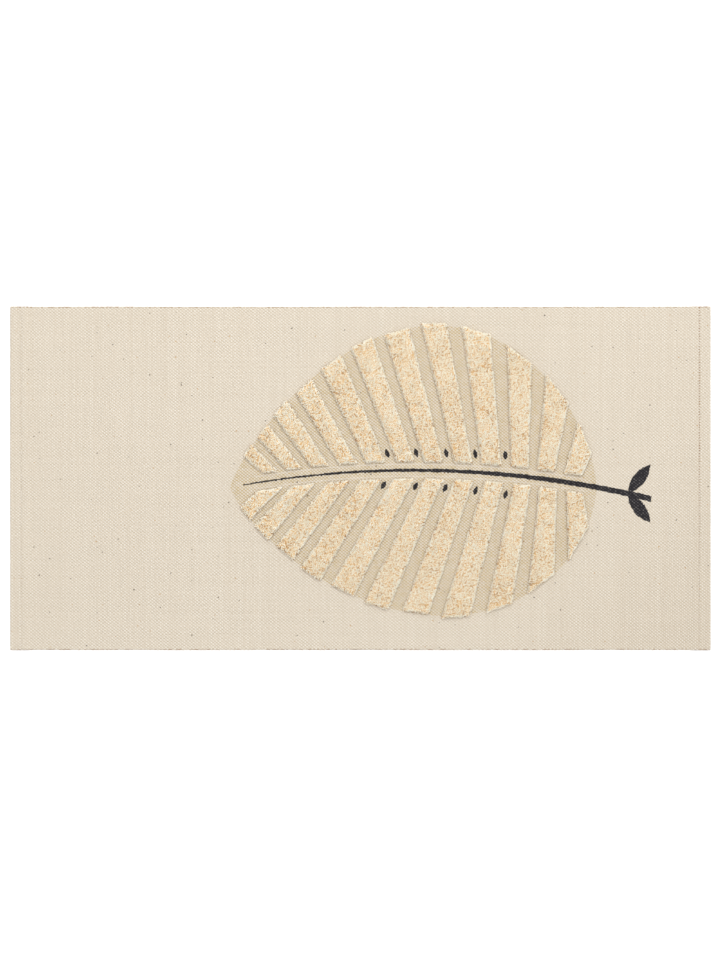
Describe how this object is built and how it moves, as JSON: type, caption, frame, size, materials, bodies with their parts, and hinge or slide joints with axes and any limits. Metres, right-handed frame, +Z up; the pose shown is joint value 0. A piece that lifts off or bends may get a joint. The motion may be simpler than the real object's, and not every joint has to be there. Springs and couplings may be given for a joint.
{
  "type": "kids rug",
  "caption": "Flat rectangular cotton rug for a child's room: a plain-woven ground with hemmed ends and a broad leaf of raised looped-pile ribs.",
  "frame": {"origin": "on the floor, under the middle of the rug", "axes": "+X along the rug towards the leaf's stalk, +Y across it towards the picture's upper edge, +Z up"},
  "size_m": [1.4, 0.687, 0.0143],
  "materials": {
    "ground_cotton": "matt ecru plain weave, printed",
    "pile_cotton": "matt cream loop pile"
  },
  "bodies": {
    "root": {"ground_cloth": "ground_cotton", "pile_rib_upper_01": "pile_cotton", "pile_rib_upper_02": "pile_cotton", "pile_rib_upper_03": "pile_cotton", "pile_rib_upper_04": "pile_cotton", "pile_rib_upper_05": "pile_cotton", "pile_rib_upper_06": "pile_cotton", "pile_rib_upper_07": "pile_cotton", "pile_rib_upper_08": "pile_cotton", "pile_rib_upper_09": "pile_cotton", "pile_rib_upper_10": "pile_cotton", "pile_rib_upper_11": "pile_cotton", "pile_rib_upper_12": "pile_cotton", "pile_rib_lower_01": "pile_cotton", "pile_rib_lower_02": "pile_cotton", "pile_rib_lower_03": "pile_cotton", "pile_rib_lower_04": "pile_cotton", "pile_rib_lower_05": "pile_cotton", "pile_rib_lower_06": "pile_cotton", "pile_rib_lower_07": "pile_cotton", "pile_rib_lower_08": "pile_cotton", "pile_rib_lower_09": "pile_cotton", "pile_rib_lower_10": "pile_cotton", "pile_rib_lower_11": "pile_cotton"}
  },
  "joints": []
}
